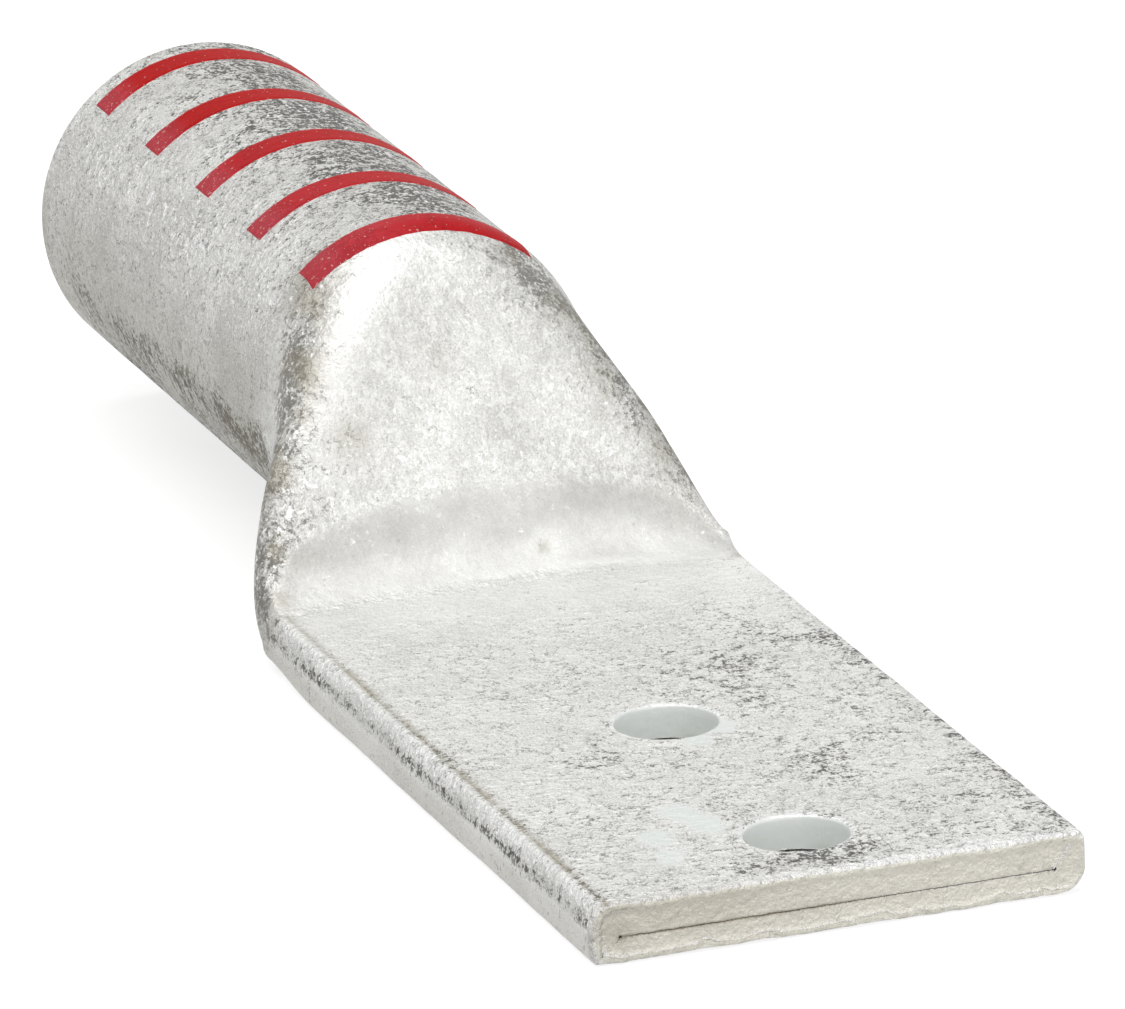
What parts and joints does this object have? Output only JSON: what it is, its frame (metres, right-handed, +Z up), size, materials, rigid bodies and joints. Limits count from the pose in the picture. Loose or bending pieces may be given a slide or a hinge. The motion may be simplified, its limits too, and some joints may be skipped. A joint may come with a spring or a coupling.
{
  "type": "compression lug",
  "caption": "One-piece crimp lug: a round barrel with a cable bore, a sloping neck and a flat tongue with stud holes, in tinned copper with red bands across the barrel.",
  "frame": {"origin": "midway between the centres of the stud holes, on the tongue's seating face", "axes": "+X along the barrel's axis from the barrel towards the tongue's tip, +Y across the tongue, +Z up from the seating face, along the studs"},
  "size_m": [0.1342, 0.0348, 0.0265],
  "materials": {
    "tinned_copper": "matt tin plating, finely grained and mottled with grey",
    "red_ink": "thin satin ink"
  },
  "bodies": {
    "root": {"lug_body": "tinned_copper", "colour_bands": "red_ink"}
  },
  "joints": []
}
